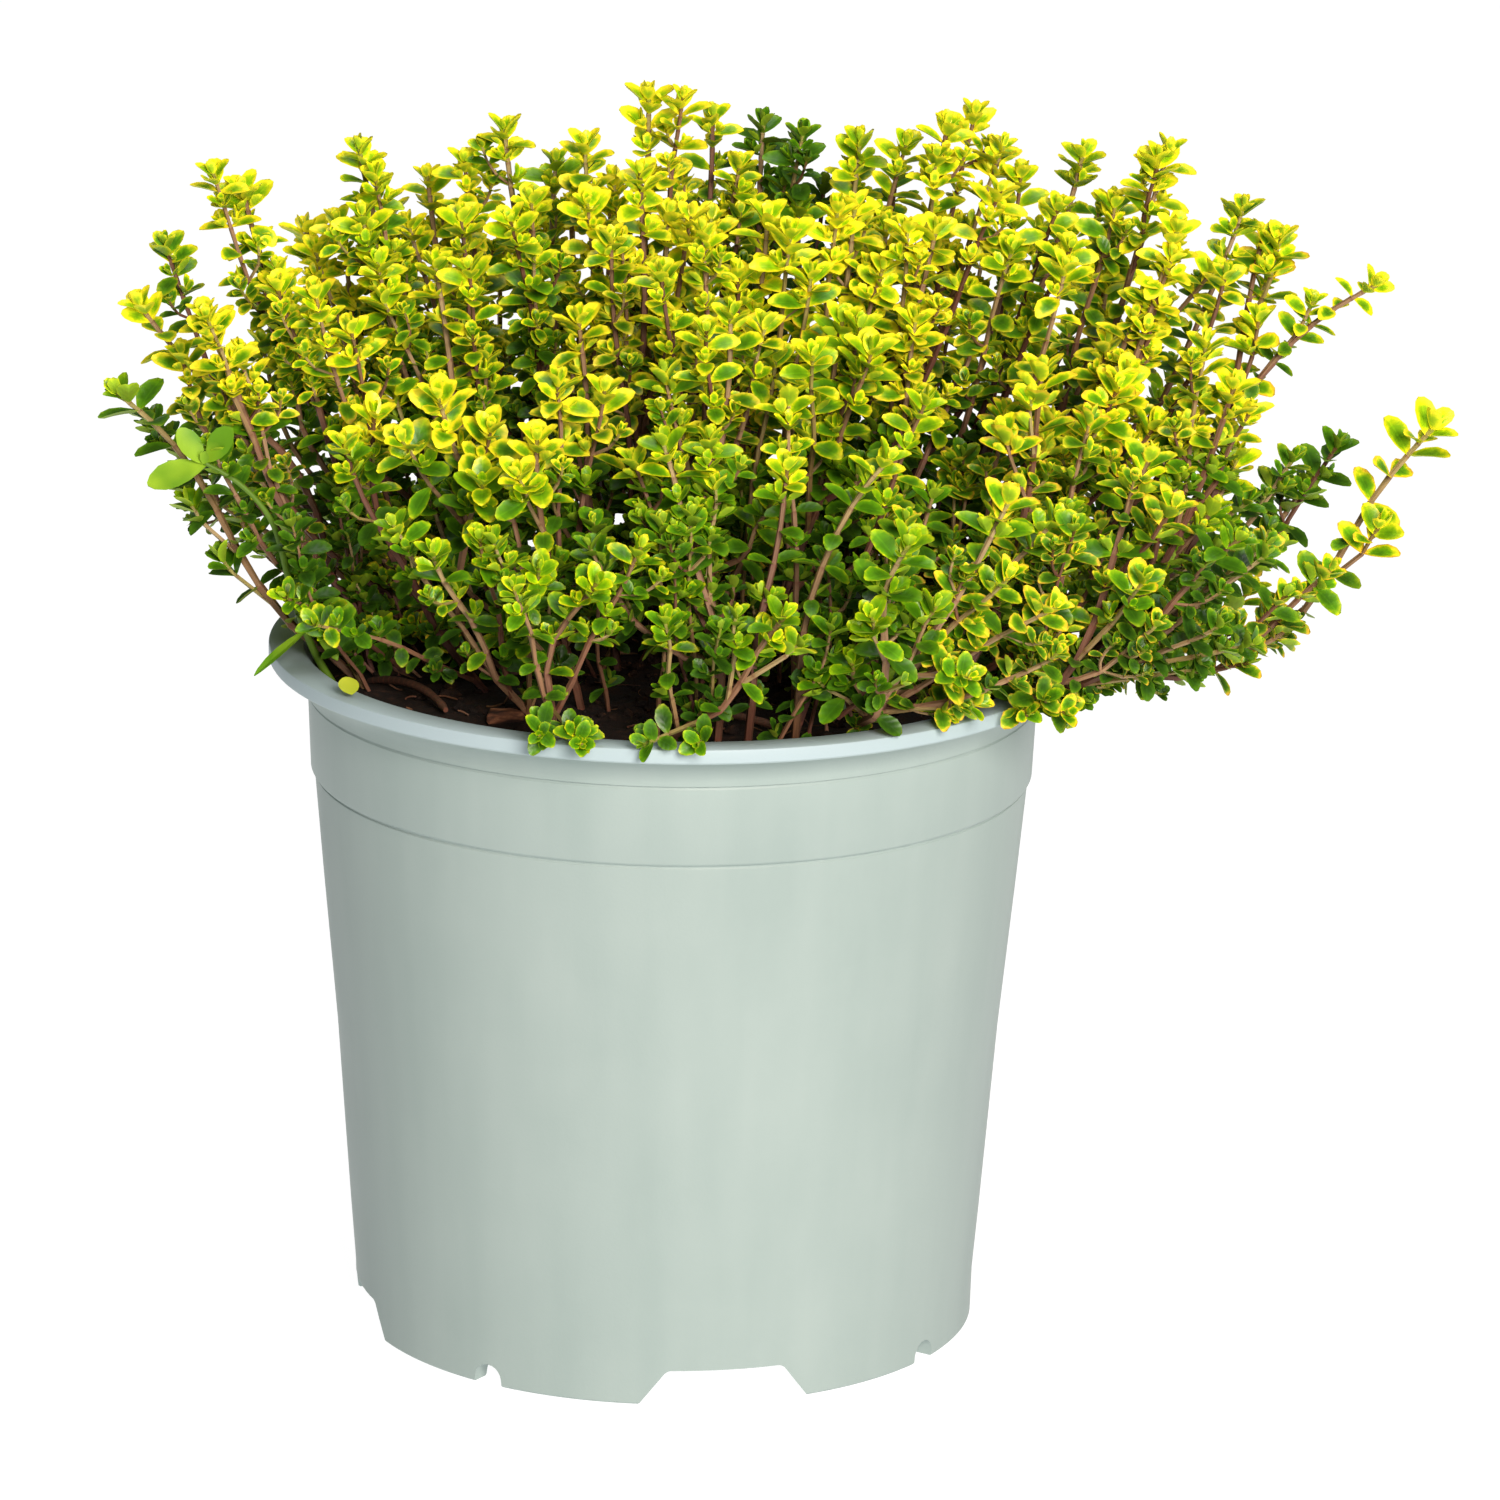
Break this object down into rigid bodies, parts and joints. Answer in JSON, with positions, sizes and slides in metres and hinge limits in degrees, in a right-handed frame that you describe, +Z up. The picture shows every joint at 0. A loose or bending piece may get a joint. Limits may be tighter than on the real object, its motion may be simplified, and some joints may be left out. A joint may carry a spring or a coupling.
{
  "type": "potted lemon thyme plant",
  "caption": "Bushy variegated lemon thyme with upright leafy sprigs, rooted in soil in a tapered plastic nursery pot with a notched foot.",
  "frame": {"origin": "centre of the whole plant's box, on the plane that the pot's foot stands on", "axes": "+Z up along the pot's axis, -Y towards the side the picture shows, +X to that side's right"},
  "size_m": [0.2335, 0.1611, 0.2158],
  "materials": {
    "pot_plastic": "satin",
    "soil": "matte",
    "bark": "matte",
    "stem_bark": "matte",
    "variegated_leaf": "satin",
    "pale_leaf": "satin"
  },
  "bodies": {
    "root": {"pot": "pot_plastic", "soil": "soil", "bark_chip_1": "bark", "bark_chip_2": "bark", "woody_runner_1": "stem_bark", "woody_runner_2": "stem_bark", "pale_seedling": "pale_leaf", "fallen_leaf": "pale_leaf", "thyme_sprig_01": "variegated_leaf", "thyme_sprig_02": "variegated_leaf", "thyme_sprig_03": "variegated_leaf", "thyme_sprig_04": "variegated_leaf", "thyme_sprig_05": "variegated_leaf", "thyme_sprig_06": "variegated_leaf", "thyme_sprig_07": "variegated_leaf", "thyme_sprig_08": "variegated_leaf", "thyme_sprig_09": "variegated_leaf", "thyme_sprig_10": "variegated_leaf", "thyme_sprig_11": "variegated_leaf", "thyme_sprig_12": "variegated_leaf", "thyme_sprig_13": "variegated_leaf", "thyme_sprig_14": "variegated_leaf", "thyme_sprig_15": "variegated_leaf", "thyme_sprig_16": "variegated_leaf", "thyme_sprig_17": "variegated_leaf", "thyme_sprig_18": "variegated_leaf", "thyme_sprig_19": "variegated_leaf", "thyme_sprig_20": "variegated_leaf", "thyme_sprig_21": "variegated_leaf", "thyme_sprig_22": "variegated_leaf", "thyme_sprig_23": "variegated_leaf", "thyme_sprig_24": "variegated_leaf", "thyme_sprig_25": "variegated_leaf", "thyme_sprig_26": "variegated_leaf", "thyme_sprig_27": "variegated_leaf", "thyme_sprig_28": "variegated_leaf", "thyme_sprig_29": "variegated_leaf", "thyme_sprig_30": "variegated_leaf", "thyme_sprig_31": "variegated_leaf", "thyme_sprig_32": "variegated_leaf", "thyme_sprig_33": "variegated_leaf", "thyme_sprig_34": "variegated_leaf", "thyme_sprig_35": "variegated_leaf", "thyme_sprig_36": "variegated_leaf", "thyme_sprig_37": "variegated_leaf", "thyme_sprig_38": "variegated_leaf", "thyme_sprig_39": "variegated_leaf", "thyme_sprig_40": "variegated_leaf", "thyme_sprig_41": "variegated_leaf", "thyme_sprig_42": "variegated_leaf", "thyme_sprig_43": "variegated_leaf", "thyme_sprig_44": "variegated_leaf", "thyme_sprig_45": "variegated_leaf", "thyme_sprig_46": "variegated_leaf", "thyme_sprig_47": "variegated_leaf", "thyme_sprig_48": "variegated_leaf", "thyme_sprig_49": "variegated_leaf", "thyme_sprig_50": "variegated_leaf", "thyme_sprig_51": "variegated_leaf", "thyme_sprig_52": "variegated_leaf"}
  },
  "joints": []
}
